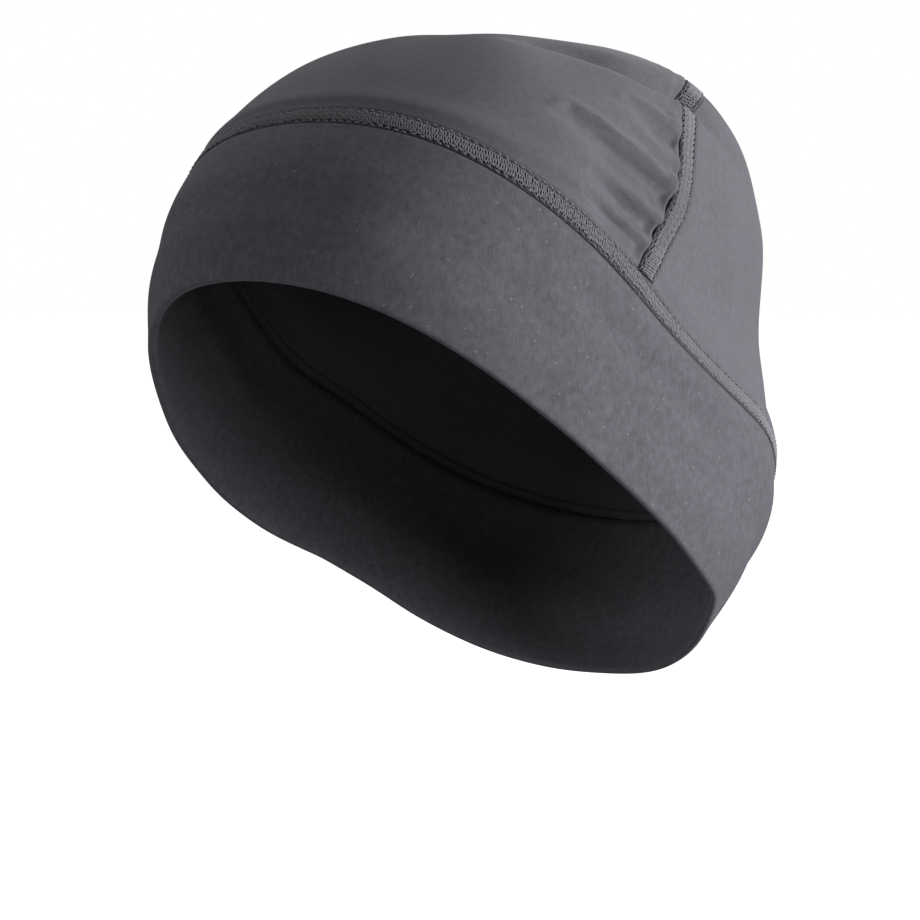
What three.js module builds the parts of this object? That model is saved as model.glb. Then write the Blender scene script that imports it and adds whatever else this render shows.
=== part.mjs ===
import * as THREE from 'three';

// Sizes in millimetres. The cap is shaped in a head frame about the form's centre,
// -Y to the face, +X to the wearer's left, +Z up, and is leaned back at the end.
const capWidth = 152;
const capLength = 204;
const crownHeight = 88.5;
const hemFront = 0;
const hemSide = -50;
const hemBack = -58;
const hemBow = -8;
const napeDrop = 32;
const napeDropStart = 30;
const napeDropEnd = 110;
const bandHeight = 53.2;
const bandWall = 2.4;
const crownWall = 1.2;
const stripWidth = 6.2;
const stripHeight = 0.7;
const clearance = 0.3;
const headLean = 12;
const seamCreaseDepth = 1.2;
const seamCreaseWidth = 5;
const crownBulgeDepth = 0.6;
const crownBulgeRise = 8;
const gatherDepth = 1.8;
const gatherWidth = 3.5;
const crestDipDepth = 4.4;
const crestDipWidth = 6;
const crestDipFarWidth = 8.5;
const bandDentDepth = 1.3;
const bandDentWidth = 5;
const hemRollDepth = 0.5;
const hemRollRise = 12;
const napeWaistDepth = 1;
const napeWaistRise = 13;
const napeBulgeDepth = 0.9;
const napeBulgeDrop = 14;

// Form: how far the cloth stands from the centre, as shares of an ellipsoid of the named sizes.
// Each row is one lift above the centre's level, in degrees; the columns go from face to nape.
const formTable = [
  { lift: -55, front: 1.171, frontQuarter: 1.225, side: 1.226, backQuarter: 1.287, back: 1.271 },
  { lift: -40, front: 1.100, frontQuarter: 1.148, side: 1.164, backQuarter: 1.183, back: 1.187 },
  { lift: -25, front: 1.033, frontQuarter: 1.078, side: 1.110, backQuarter: 1.140, back: 1.082 },
  { lift: -10, front: 1.024, frontQuarter: 1.039, side: 1.031, backQuarter: 1.083, back: 1.006 },
  { lift: 10, front: 1.046, frontQuarter: 1.045, side: 0.930, backQuarter: 0.995, back: 0.989 },
  { lift: 30, front: 1.004, frontQuarter: 1.055, side: 1.053, backQuarter: 1.076, back: 1.028 },
  { lift: 50, front: 0.995, frontQuarter: 1.049, side: 1.127, backQuarter: 1.141, back: 1.076 },
  { lift: 70, front: 1.000, frontQuarter: 1.023, side: 1.065, backQuarter: 1.103, back: 1.061 },
  { lift: 90, front: 1.000, frontQuarter: 1.000, side: 1.000, backQuarter: 1.000, back: 1.000 },
];

// Crown seam on the left side: turn from the face and lift, in degrees, from the band upwards
// to the middle of the crown's back. The right side mirrors it.
const seamTable = [
  { turn: 72, lift: 10.7 },
  { turn: 74.3, lift: 16 },
  { turn: 77.4, lift: 21 },
  { turn: 80.6, lift: 26.2 },
  { turn: 82.6, lift: 31 },
  { turn: 84.6, lift: 36 },
  { turn: 87.2, lift: 41 },
  { turn: 91.5, lift: 45.8 },
  { turn: 98, lift: 49.6 },
  { turn: 112, lift: 54.5 },
  { turn: 134, lift: 58.5 },
  { turn: 157, lift: 60.5 },
  { turn: 180, lift: 61 },
];

// Gathers of the front panel: each path runs from its faint front end to the crown seam.
// Depths and widths are shares of the gather sizes.
const gatherTable = [
  {
    width: 1,
    path: [
      { turn: 56.5, lift: 39, depth: 0.35 },
      { turn: 66, lift: 33.5, depth: 1 },
      { turn: 81, lift: 27, depth: 1 },
    ],
  },
  {
    width: 0.9,
    path: [
      { turn: 72, lift: 44, depth: 0.2 },
      { turn: 78, lift: 41, depth: 0.65 },
      { turn: 85.5, lift: 37.5, depth: 0.7 },
    ],
  },
  {
    width: 0.85,
    path: [
      { turn: 60.5, lift: 27.5, depth: 0.2 },
      { turn: 67, lift: 25, depth: 0.9 },
      { turn: 77.5, lift: 21.3, depth: 0.9 },
    ],
  },
  {
    width: 0.85,
    path: [
      { turn: 59, lift: 24, depth: 0.2 },
      { turn: 64.5, lift: 21.5, depth: 0.7 },
      { turn: 74.5, lift: 17.5, depth: 0.6 },
    ],
  },
];

// Long dip that crosses the crown seam high on the side, and dent of the band below the seam.
const crestDipPath = [
  { turn: 46, lift: 62, depth: 0.15 },
  { turn: 59, lift: 58.5, depth: 0.5 },
  { turn: 67.5, lift: 55.5, depth: 0.85 },
  { turn: 73, lift: 53, depth: 1 },
  { turn: 79, lift: 50.5, depth: 1 },
  { turn: 86, lift: 48.5, depth: 1 },
  { turn: 93, lift: 47, depth: 0.85 },
  { turn: 99, lift: 43.5, depth: 0.5 },
  { turn: 106, lift: 38, depth: 0.3 },
  { turn: 115, lift: 30, depth: 0.1 },
];
const bandDentPath = [
  { turn: 52, lift: 9, depth: 0 },
  { turn: 60.2, lift: 5.2, depth: 0.8 },
  { turn: 71.2, lift: -0.9, depth: 1 },
  { turn: 80.3, lift: -5.6, depth: 1 },
  { turn: 89.6, lift: -9.9, depth: 0.8 },
  { turn: 98, lift: -11.5, depth: 0.1 },
];

// Sampling of the cloth: rows above the band seam and steps along the pieces.
const ringSteps = 84;
const fineRowStep = 3.3;
const fineRowReach = 72;
const coarseRowStep = 6.5;
const columnStep = 6.9;

const radian = Math.PI / 180;
const halfWidth = capWidth / 2;
const halfLength = capLength / 2;
const formColumns = ['front', 'frontQuarter', 'side', 'backQuarter', 'back'];

// Small helpers: a clamped smooth step and a bell curve.
function smoothStep(low, high, value) {
  const share = Math.min(1, Math.max(0, (value - low) / (high - low)));
  return share * share * (3 - 2 * share);
}

function bell(distance, width) {
  return Math.exp(-((distance / width) ** 2));
}

// A unit direction from a turn about +Z from the face and a lift, both in degrees.
function direction(turn, lift) {
  const level = Math.cos(lift * radian);
  return new THREE.Vector3(
    Math.sin(turn * radian) * level,
    -Math.cos(turn * radian) * level,
    Math.sin(lift * radian),
  );
}

function turnOf(dir) {
  return Math.atan2(dir.x, -dir.y) / radian;
}

function liftOf(dir) {
  return Math.asin(Math.min(1, Math.max(-1, dir.z))) / radian;
}

// One row of the form as a cosine series in the turn, exact at the five columns.
function rowSeries(row) {
  const values = formColumns.map((name) => row[name]);
  const last = values.length - 1;
  return values.map((unused, order) => {
    let sum = 0;
    values.forEach((value, place) => {
      const weight = place === 0 || place === last ? 0.5 : 1;
      sum += weight * value * Math.cos((Math.PI * order * place) / last);
    });
    const half = order === 0 || order === last ? 0.5 : 1;
    return (sum * 2 * half) / last;
  });
}

// Above the top row the form goes down again on the other side, so the series is mirrored.
function mirroredSeries(series) {
  return series.map((value, order) => (order % 2 === 1 ? -value : value));
}

const formRows = formTable.map((row) => ({ lift: row.lift, series: rowSeries(row) }));
const beforeTop = formRows[formRows.length - 2];
formRows.push({ lift: 180 - beforeTop.lift, series: mirroredSeries(beforeTop.series) });

// Share of the ellipsoid at a turn and lift: cosine series round, cubic curve upwards.
function formShare(turn, lift) {
  const values = formRows.map((row) =>
    row.series.reduce((sum, value, order) => sum + value * Math.cos(order * turn * radian), 0));
  let index = 0;
  while (index < formRows.length - 3 && lift > formRows[index + 1].lift) {
    index += 1;
  }
  const slopeAt = (place) => {
    const low = Math.max(0, place - 1);
    const high = Math.min(formRows.length - 1, place + 1);
    return (values[high] - values[low]) / (formRows[high].lift - formRows[low].lift);
  };
  const span = formRows[index + 1].lift - formRows[index].lift;
  const share = (lift - formRows[index].lift) / span;
  const squared = share * share;
  const cubed = squared * share;
  return (2 * cubed - 3 * squared + 1) * values[index]
    + (cubed - 2 * squared + share) * span * slopeAt(index)
    + (3 * squared - 2 * cubed) * values[index + 1]
    + (cubed - squared) * span * slopeAt(index + 1);
}

// A point of the smooth form, without folds.
function formPoint(dir) {
  const share = formShare(turnOf(dir), liftOf(dir));
  return new THREE.Vector3(
    dir.x * halfWidth * share,
    dir.y * halfLength * share,
    dir.z * crownHeight * share,
  );
}

// The outward normal of the smooth form from two small steps across the direction.
function formNormal(dir) {
  const step = 0.01;
  const aside = new THREE.Vector3(-dir.y, dir.x, 0);
  if (aside.length() < 0.001) {
    aside.set(1, 0, 0);
  }
  aside.normalize();
  const upward = dir.clone().cross(aside).normalize();
  const probe = (axis, amount) => formPoint(dir.clone().addScaledVector(axis, amount).normalize());
  const alongAside = probe(aside, step).sub(probe(aside, -step));
  const alongUpward = probe(upward, step).sub(probe(upward, -step));
  const normal = alongAside.cross(alongUpward).normalize();
  return normal.dot(dir) < 0 ? normal.negate() : normal;
}

// Hem height over the form's length: set at the face, the sides and the nape, with a bow between.
function hemHeightAt(y) {
  const t = -y / halfLength;
  return hemSide
    + (t * (hemFront - hemBack)) / 2
    + t * t * ((hemFront + hemBack) / 2 - hemSide)
    + hemBow * (t ** 3 - t)
    - napeDrop * smoothStep(napeDropStart, napeDropEnd, y);
}

// One meridian of the form: its hem lift and the lift at any arc length above the hem.
const meridianCache = new Map();
function meridian(turn) {
  const key = Math.abs(turn).toFixed(4);
  if (!meridianCache.has(key)) {
    let low = -60;
    let high = 40;
    for (let round = 0; round < 40; round += 1) {
      const middle = (low + high) / 2;
      const point = formPoint(direction(turn, middle));
      if (point.z < hemHeightAt(point.y)) {
        low = middle;
      } else {
        high = middle;
      }
    }
    const samples = [{ lift: low, arc: 0 }];
    let previous = formPoint(direction(turn, low));
    for (let lift = low + 1; lift < 90; lift += 1) {
      const point = formPoint(direction(turn, lift));
      const arc = samples[samples.length - 1].arc + point.distanceTo(previous);
      samples.push({ lift, arc });
      previous = point;
    }
    meridianCache.set(key, samples);
  }
  return meridianCache.get(key);
}

function liftAbove(turn, arc) {
  const samples = meridian(turn);
  let index = 1;
  while (index < samples.length - 1 && samples[index].arc < arc) {
    index += 1;
  }
  const low = samples[index - 1];
  const high = samples[index];
  return low.lift + ((high.lift - low.lift) * (arc - low.arc)) / (high.arc - low.arc);
}

function hemDirection(turn, arc) {
  return direction(turn, liftAbove(turn, arc));
}

// The left crown seam as a smooth path of directions, by its share of the way to the middle.
const seamTurn = seamTable[0].turn;
const seamStart = hemDirection(seamTurn, bandHeight);
const seamEnd = direction(seamTable[seamTable.length - 1].turn, seamTable[seamTable.length - 1].lift);
const seamRows = seamTable.map((row) => direction(row.turn, row.lift));
seamRows[0] = seamStart;
const beyondEnd = seamRows[seamRows.length - 2].clone();
beyondEnd.x *= -1;
const seamCurve = new THREE.CatmullRomCurve3([...seamRows, beyondEnd], false, 'catmullrom');
const seamSamples = [];
for (let step = 0; step <= 240; step += 1) {
  const share = (step / 240) * ((seamRows.length - 1) / seamRows.length);
  seamSamples.push(seamCurve.getPoint(share).normalize());
}
const seamArcs = [0];
seamSamples.slice(1).forEach((dir, index) => {
  seamArcs.push(seamArcs[index] + dir.angleTo(seamSamples[index]));
});

function seamDirection(share) {
  const target = share * seamArcs[seamArcs.length - 1];
  let index = 1;
  while (index < seamArcs.length - 1 && seamArcs[index] < target) {
    index += 1;
  }
  const blend = (target - seamArcs[index - 1]) / (seamArcs[index] - seamArcs[index - 1]);
  return seamSamples[index - 1].clone().lerp(seamSamples[index], blend).normalize();
}

function slerp(from, to, share) {
  const angle = from.angleTo(to);
  const first = Math.sin((1 - share) * angle) / Math.sin(angle);
  const second = Math.sin(share * angle) / Math.sin(angle);
  return from.clone().multiplyScalar(first).addScaledVector(to, second);
}

// A crown column from the band seam at a turn to the seam's middle. Near the crown seam the
// column bends so that the one that starts at the seam's foot follows the seam itself.
function crownDirection(turn, share) {
  const side = turn < 0 ? -1 : 1;
  const foot = hemDirection(turn, bandHeight);
  const dir = slerp(foot, seamEnd, share);
  const nearness = 1 - smoothStep(0, 55, Math.abs(Math.abs(turn) - seamTurn));
  const bend = seamDirection(share).sub(slerp(seamStart, seamEnd, share)).multiplyScalar(nearness);
  bend.x *= side;
  return dir.add(bend).normalize();
}

// Distances on the smooth form, measured on the left half: the right half mirrors it.
function halfPoint(dir) {
  const point = formPoint(dir);
  point.x = Math.abs(point.x);
  return point;
}

function pathPoints(rows) {
  return rows.map((row) => ({ point: formPoint(direction(row.turn, row.lift)), depth: row.depth }));
}

// Nearest place on a path of points: its distance and the depth share there.
function nearestOnPath(point, path) {
  let best = { distance: Infinity, depth: 0 };
  for (let index = 1; index < path.length; index += 1) {
    const start = path[index - 1];
    const end = path[index];
    const along = end.point.clone().sub(start.point);
    const raw = point.clone().sub(start.point).dot(along) / along.lengthSq();
    const share = Math.min(1, Math.max(0, raw));
    const distance = point.distanceTo(start.point.clone().addScaledVector(along, share));
    if (distance < best.distance) {
      best = { distance, depth: start.depth + (end.depth - start.depth) * share };
    }
  }
  return best;
}

const bandSeamPath = [];
for (let turn = 0; turn <= 180; turn += 3) {
  bandSeamPath.push({ point: formPoint(hemDirection(turn, bandHeight)), depth: 1 });
}
const crownSeamPath = [];
for (let step = 0; step <= 60; step += 1) {
  crownSeamPath.push({ point: formPoint(seamDirection(step / 60)), depth: 1 });
}
const crestPath = pathPoints(crestDipPath);
const dentPath = pathPoints(bandDentPath);
const gatherPaths = gatherTable.map((row) => ({
  width: row.width * gatherWidth,
  path: pathPoints(row.path),
}));

// The lift of the crest dip at a turn, straight between the places of its path.
function crestLift(turn) {
  const last = crestDipPath.length - 1;
  let index = 0;
  while (index < last - 1 && turn > crestDipPath[index + 1].turn) {
    index += 1;
  }
  const from = crestDipPath[index];
  const to = crestDipPath[index + 1];
  const share = Math.min(1, Math.max(0, (turn - from.turn) / (to.turn - from.turn)));
  return from.lift + (to.lift - from.lift) * share;
}

// How far the cloth stands out of or sinks into the smooth form at a direction.
// part is -1 on the band, 1 on the front panel and 2 on the back panel.
function foldDepth(dir, part) {
  const point = halfPoint(dir);
  const bandSeam = nearestOnPath(point, bandSeamPath).distance;
  const crownSeam = nearestOnPath(point, crownSeamPath).distance;
  const onBand = part < 0;
  const flatNearStrip = smoothStep(stripWidth * 0.4, stripWidth * 0.95, bandSeam);
  const nape = smoothStep(80, 115, Math.abs(turnOf(dir)));
  let depth = -seamCreaseDepth * bell(bandSeam, seamCreaseWidth);
  if (onBand) {
    depth += nape * napeBulgeDepth * bell(bandSeam - napeBulgeDrop, napeBulgeDrop * 0.7)
      * smoothStep(stripWidth * 0.5, napeBulgeDrop, bandSeam);
    const dent = nearestOnPath(point, dentPath);
    depth -= bandDentDepth * dent.depth * bell(dent.distance, bandDentWidth) * flatNearStrip;
    depth += 0.4 * bandDentDepth * dent.depth * bell(dent.distance - 1.7 * bandDentWidth, bandDentWidth)
      * flatNearStrip;
    return depth;
  }
  depth -= nape * napeWaistDepth * bell(bandSeam - napeWaistRise, napeWaistRise * 0.7)
    * smoothStep(stripWidth * 0.5, napeWaistRise, bandSeam);
  depth += (1 - nape) * crownBulgeDepth * bell(bandSeam - crownBulgeRise, crownBulgeRise * 0.6)
    * smoothStep(stripWidth * 0.5, crownBulgeRise, bandSeam);
  depth -= seamCreaseDepth * bell(crownSeam, seamCreaseWidth) * smoothStep(0, crownBulgeRise, bandSeam);
  const crest = nearestOnPath(point, crestPath);
  const beyond = smoothStep(-2, 2, liftOf(dir) - crestLift(Math.abs(turnOf(dir))));
  const dipWidth = crestDipWidth + (crestDipFarWidth - crestDipWidth) * beyond;
  depth -= crestDipDepth * crest.depth * bell(crest.distance, dipWidth);
  if (part === 1) {
    const pucker = smoothStep(stripWidth * 0.6, stripWidth * 1.3, crownSeam) * flatNearStrip;
    gatherPaths.forEach((gather) => {
      const near = nearestOnPath(point, gather.path);
      const share = near.distance / gather.width;
      const shape = bell(share, 1) - 0.35 * bell(share - 1.9, 0.9);
      depth -= gatherDepth * near.depth * shape * pucker;
    });
  }
  return depth;
}

// A point of the cloth at a direction, raised by a height from its outer face.
function clothPoint(dir, part, height) {
  return formPoint(dir).addScaledVector(formNormal(dir), foldDepth(dir, part) + height);
}

// Lean the whole cap back and put the origin where the top of the head meets the crown.
const seatPoint = clothPoint(direction(0, 90), 1, -crownWall);
function place(point) {
  const angle = headLean * radian;
  const moved = point.clone().sub(seatPoint);
  return new THREE.Vector3(
    moved.x,
    moved.y * Math.cos(angle) + moved.z * Math.sin(angle),
    -moved.y * Math.sin(angle) + moved.z * Math.cos(angle),
  );
}

// Geometry of a closed piece, with its faces turned outwards.
function buildGeometry(points, faces) {
  const geometry = new THREE.BufferGeometry();
  const places = new Float32Array(points.length * 3);
  const corners = points.map(place);
  corners.forEach((corner, index) => corner.toArray(places, index * 3));
  let volume = 0;
  const ordered = [...faces];
  for (let index = 0; index < faces.length; index += 3) {
    const [a, b, c] = faces.slice(index, index + 3).map((id) => corners[id]);
    volume += a.dot(b.clone().cross(c));
  }
  if (volume < 0) {
    for (let index = 0; index < faces.length; index += 3) {
      ordered[index + 1] = faces[index + 2];
      ordered[index + 2] = faces[index + 1];
    }
  }
  geometry.setAttribute('position', new THREE.BufferAttribute(places, 3));
  geometry.setIndex(ordered);
  return geometry;
}

// Triangles between two rows that may have different numbers of points, by their shares.
function zipRows(rowA, rowB, faces) {
  let a = 0;
  let b = 0;
  while (a < rowA.ids.length - 1 || b < rowB.ids.length - 1) {
    const nextA = a < rowA.ids.length - 1 ? rowA.shares[a + 1] : Infinity;
    const nextB = b < rowB.ids.length - 1 ? rowB.shares[b + 1] : Infinity;
    if (nextA <= nextB) {
      faces.push(rowA.ids[a], rowA.ids[a + 1], rowB.ids[b]);
      a += 1;
    } else {
      faces.push(rowA.ids[a], rowB.ids[b + 1], rowB.ids[b]);
      b += 1;
    }
  }
}

// A closed cloth panel from rows of directions: outer face, inner face and the edges between.
function panelSolid(rows, part, wall) {
  const points = [];
  const faces = [];
  const layRows = (height) => rows.map((row) => ({
    shares: row.map((item, index) => index / (row.length - 1)),
    ids: row.map((dir) => points.push(clothPoint(dir, part, height)) - 1),
  }));
  const outer = layRows(0);
  const inner = layRows(-wall);
  const innerFaces = [];
  for (let index = 1; index < rows.length; index += 1) {
    zipRows(outer[index - 1], outer[index], faces);
    zipRows(inner[index - 1], inner[index], innerFaces);
  }
  for (let index = 0; index < innerFaces.length; index += 3) {
    faces.push(innerFaces[index], innerFaces[index + 2], innerFaces[index + 1]);
  }
  const wallFaces = (outerIds, innerIds) => {
    for (let index = 1; index < outerIds.length; index += 1) {
      faces.push(outerIds[index - 1], innerIds[index - 1], outerIds[index]);
      faces.push(outerIds[index], innerIds[index - 1], innerIds[index]);
    }
  };
  const first = 0;
  const last = rows.length - 1;
  const reversed = (ids) => [...ids].reverse();
  wallFaces(outer[first].ids, inner[first].ids);
  wallFaces(reversed(outer[last].ids), reversed(inner[last].ids));
  wallFaces(outer.map((row) => row.ids[row.ids.length - 1]), inner.map((row) => row.ids[row.ids.length - 1]));
  wallFaces(reversed(outer.map((row) => row.ids[0])), reversed(inner.map((row) => row.ids[0])));
  return buildGeometry(points, faces);
}

// A tube of cross-sections: joined end to start for a ring, or capped at both ends.
function sweptSolid(sections, closed) {
  const points = sections.flat();
  const size = sections[0].length;
  const faces = [];
  const count = closed ? sections.length : sections.length - 1;
  for (let index = 0; index < count; index += 1) {
    const here = index * size;
    const next = ((index + 1) % sections.length) * size;
    for (let corner = 0; corner < size; corner += 1) {
      const after = (corner + 1) % size;
      faces.push(here + corner, next + corner, here + after);
      faces.push(here + after, next + corner, next + after);
    }
  }
  if (!closed) {
    const end = (sections.length - 1) * size;
    for (let corner = 1; corner < size - 1; corner += 1) {
      faces.push(0, corner, corner + 1);
      faces.push(end, end + corner + 1, end + corner);
    }
  }
  return buildGeometry(points, faces);
}

// Band: outer face down to the hem, the folded edge, and the inner face back up.
const outerShares = [0, 0.065, 0.145, 0.235, 0.33, 0.45, 0.57, 0.68, 0.8, 0.9, 0.96];
const innerShares = [0.92, 0.7, 0.47, 0.23];
function hemRoll(arc) {
  return hemRollDepth * (bell(arc - hemRollRise, hemRollRise / 2) - bell(arc - 2 * hemRollRise, hemRollRise / 2));
}
function bandSection(turn) {
  const fold = bandWall / 2;
  const top = bandHeight - clearance / 2;
  const section = [];
  const add = (arc, height) => {
    section.push(clothPoint(hemDirection(turn, arc), -1, height + hemRoll(arc)));
  };
  outerShares.forEach((share) => add(top * (1 - share), 0));
  [30, 90, 150].forEach((angle) => {
    add(fold * (1 - Math.sin(angle * radian)), -fold + fold * Math.cos(angle * radian));
  });
  innerShares.forEach((share) => add(top * (1 - share), -bandWall));
  add(top, -bandWall);
  return section;
}
const bandSections = [];
for (let index = 0; index < ringSteps; index += 1) {
  bandSections.push(bandSection(-180 + (360 * index) / ringSteps));
}

// Rows of the crown above the band seam, as shares of the way to the seam's middle.
const seamLength = (() => {
  let sum = 0;
  for (let index = 1; index < crownSeamPath.length; index += 1) {
    sum += crownSeamPath[index].point.distanceTo(crownSeamPath[index - 1].point);
  }
  return sum;
})();
function rowShares(fineStep) {
  const shares = [clearance / 2 / seamLength];
  let reach = fineStep;
  while (reach < seamLength - 3) {
    shares.push(reach / seamLength);
    reach += reach < fineRowReach ? fineStep : coarseRowStep;
  }
  shares.push(1 - 1.6 / seamLength);
  return shares;
}

// One row of a panel: from seam to seam, kept a half gap clear of the seam's line.
function panelRow(turnA, turnB, share) {
  const raw = [];
  for (let step = 0; step <= 120; step += 1) {
    raw.push(turnA + ((turnB - turnA) * step) / 120);
  }
  const spots = raw.map((turn) => formPoint(crownDirection(wrapTurn(turn), share)));
  const arcs = [0];
  spots.slice(1).forEach((spot, index) => arcs.push(arcs[index] + spot.distanceTo(spots[index])));
  const total = arcs[arcs.length - 1];
  const count = Math.max(3, Math.round(total / columnStep));
  const row = [];
  for (let step = 0; step <= count; step += 1) {
    const target = clearance / 2 + ((total - clearance) * step) / count;
    let index = 1;
    while (index < arcs.length - 1 && arcs[index] < target) {
      index += 1;
    }
    const blend = (target - arcs[index - 1]) / (arcs[index] - arcs[index - 1]);
    row.push(crownDirection(wrapTurn(raw[index - 1] + (raw[index] - raw[index - 1]) * blend), share));
  }
  return row;
}

function wrapTurn(turn) {
  return turn > 180 ? turn - 360 : turn;
}

const frontRows = rowShares(fineRowStep).map((share) => panelRow(-seamTurn, seamTurn, share));
const backRows = rowShares(coarseRowStep * 0.9).map((share) => panelRow(seamTurn, 360 - seamTurn, share));

// A flat stitched strip across a line of directions: low edges, a raised face and a flat back.
function stripSection(centre, across, part) {
  const section = [];
  const shape = [
    { side: -0.5, height: clearance },
    { side: -0.5, height: clearance + stripHeight * 0.6 },
    { side: -0.36, height: clearance + stripHeight },
    { side: 0.36, height: clearance + stripHeight },
    { side: 0.5, height: clearance + stripHeight * 0.6 },
    { side: 0.5, height: clearance },
  ];
  shape.forEach((row) => {
    section.push(clothPoint(offsetDirection(centre, across, row.side * stripWidth), part, row.height));
  });
  return section;
}

// Move a direction sideways so that its point on the form moves by a length in millimetres.
function offsetDirection(centre, across, length) {
  const small = 0.01;
  const nudged = centre.clone().addScaledVector(across, small).normalize();
  const scale = formPoint(nudged).distanceTo(formPoint(centre)) / small;
  return centre.clone().addScaledVector(across, length / scale).normalize();
}

const bandSeamSections = [];
for (let index = 0; index < ringSteps; index += 1) {
  const turn = -180 + (360 * index) / ringSteps;
  const centre = hemDirection(turn, bandHeight);
  const below = hemDirection(turn, bandHeight - 1);
  bandSeamSections.push(stripSection(centre, centre.clone().sub(below).normalize(), 0));
}

const crownSeamStart = (stripWidth / 2 + clearance * 2) / seamLength;
const crownSeamCount = 36;
const crownSeamSections = [];
for (let index = -crownSeamCount; index <= crownSeamCount; index += 1) {
  const side = index < 0 ? 1 : -1;
  const share = 1 - (Math.abs(index) / crownSeamCount) * (1 - crownSeamStart);
  const centre = seamDirection(share);
  const before = seamDirection(Math.max(0, share - 0.01));
  const along = centre.clone().sub(before);
  if (index === 0) {
    along.set(-1, 0, 0);
  }
  const across = along.cross(centre).normalize();
  centre.x *= side;
  across.x *= side;
  crownSeamSections.push(stripSection(centre, across, 0));
}

function cloth(name, geometry, colour, roughness) {
  const material = new THREE.MeshStandardMaterial({ color: colour, roughness, metalness: 0 });
  const mesh = new THREE.Mesh(geometry, material);
  mesh.name = name;
  return mesh;
}

const cap = new THREE.Group();
cap.name = 'helmet_liner_cap';
cap.add(cloth('band', sweptSolid(bandSections, true), 0x5c5c61, 0.95));
cap.add(cloth('crown_front', panelSolid(frontRows, 1, crownWall), 0x646469, 0.95));
cap.add(cloth('crown_back', panelSolid(backRows, 2, crownWall), 0x646469, 0.95));
cap.add(cloth('band_seam', sweptSolid(bandSeamSections, true), 0x56565b, 0.9));
cap.add(cloth('crown_seam', sweptSolid(crownSeamSections, false), 0x56565b, 0.9));

export default cap;
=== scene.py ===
import bpy
import numpy as np
from mathutils import Matrix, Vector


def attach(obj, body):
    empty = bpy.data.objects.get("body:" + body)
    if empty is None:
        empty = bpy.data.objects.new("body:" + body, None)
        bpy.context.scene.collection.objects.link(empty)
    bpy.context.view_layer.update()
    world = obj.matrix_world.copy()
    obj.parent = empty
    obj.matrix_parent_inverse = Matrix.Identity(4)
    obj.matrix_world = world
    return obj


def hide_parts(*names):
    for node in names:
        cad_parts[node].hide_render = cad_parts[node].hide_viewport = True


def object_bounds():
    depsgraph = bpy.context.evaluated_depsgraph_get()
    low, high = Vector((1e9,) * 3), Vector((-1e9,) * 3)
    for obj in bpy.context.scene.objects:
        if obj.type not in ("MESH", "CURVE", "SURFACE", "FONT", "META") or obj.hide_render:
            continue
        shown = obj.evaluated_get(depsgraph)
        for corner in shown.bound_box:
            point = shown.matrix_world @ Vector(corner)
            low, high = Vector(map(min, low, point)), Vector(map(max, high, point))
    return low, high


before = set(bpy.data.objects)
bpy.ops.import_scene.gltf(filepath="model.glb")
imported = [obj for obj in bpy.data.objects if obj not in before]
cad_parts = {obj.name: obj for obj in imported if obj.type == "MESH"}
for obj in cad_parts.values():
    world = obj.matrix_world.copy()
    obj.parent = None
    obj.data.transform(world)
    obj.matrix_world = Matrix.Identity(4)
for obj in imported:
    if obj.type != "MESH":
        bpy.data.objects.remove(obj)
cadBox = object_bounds()
print("frame loaded")

# Camera: where it stands in the cap's frame, in metres, and how it looks at the cap.
cameraView = {"place": (0.40655, -0.65093, -0.03901), "turn": 32.985, "lift": 5.74, "roll": 0.09,
              "focalPixels": 2678.3, "framePixels": 920, "sensor": 36.0}

# Studio: square light boxes that all face the target, a dim room and a pale floor.
studio = {
    "boxes": {"key": {"place": (1.133, 0.0, -0.27), "watts": 12.6},
              "side": {"place": (1.081, 0.393, -0.07), "watts": 9.0},
              "back": {"place": (0.0, 0.575, 0.926), "watts": 5.0},
              "rim": {"place": (-0.855, -0.77, -0.07), "watts": 3.4}},
    "target": (0.0, -0.02, -0.07),
    "boxSize": 0.6,
    "roomStrength": 0.093,
    "floorDrop": 0.16,
    "floorRadius": 6.0,
    "floorSides": 96,
    "floorTone": 0.9,
}

# The cap's own sizes, in metres, as in the source of the solids, but for the strips' relief over their gap.
# The crown strip's width goes from its foot's share to its top's between two lifts in degrees.
capSizes = {"width": 0.152, "length": 0.204, "crownHeight": 0.0885, "hemFront": 0.0, "hemSide": -0.050,
            "hemBack": -0.058, "hemBow": -0.008, "napeDrop": 0.032, "napeDropStart": 0.030,
            "napeDropEnd": 0.110, "bandHeight": 0.0532, "bandWall": 0.0024, "crownWall": 0.0012,
            "stripWidth": 0.0062, "stripHeight": 0.0004, "footShare": 1.24, "topShare": 1.1, "footLift": 24,
            "topLift": 30, "gap": 0.0003, "headLean": 12.0, "seamTurn": 72.0}

# Folds: depths, widths and distances from a seam or from the hem, in metres; spreads are shares of those.
foldSizes = {"seamCreaseDepth": 0.0012, "seamCreaseWidth": 0.005, "crownBulgeDepth": 0.0006,
             "crownBulgeRise": 0.008, "gatherDepth": 0.0036, "gatherWidth": 0.0023, "crestDipDepth": 0.0095,
             "crestDipWidth": 0.0036, "crestDipFarWidth": 0.0052, "bandDentDepth": 0.0016,
             "bandDentWidth": 0.005, "hemRollDepth": 0.0005, "hemRollRise": 0.012, "napeWaistDepth": 0.001,
             "napeWaistRise": 0.013, "napeBulgeDepth": 0.0009, "napeBulgeDrop": 0.014, "napeSpread": 0.7,
             "crownBulgeSpread": 0.6, "dentRimHeight": 0.4, "dentRimPlace": 1.7, "crestBlend": 2}

# Each gather's lower side is a gentle slope and its upper side a steep one with a ridge beyond it, in widths.
gatherShape = {"gentleSide": 2.1, "steepSide": 1.0, "ridgeHeight": 0.45, "ridgePlace": 1.7, "ridgeWidth": 0.8,
               "sideBlend": 0.006}

# Between these shares of the strip's width from a seam, folds and gathers grow to their full depth.
foldStart, foldFull, gatherStart, gatherFull = 0.4, 0.95, 0.35, 0.9
napeStart, napeFull = 80, 115  # degrees of turn

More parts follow.
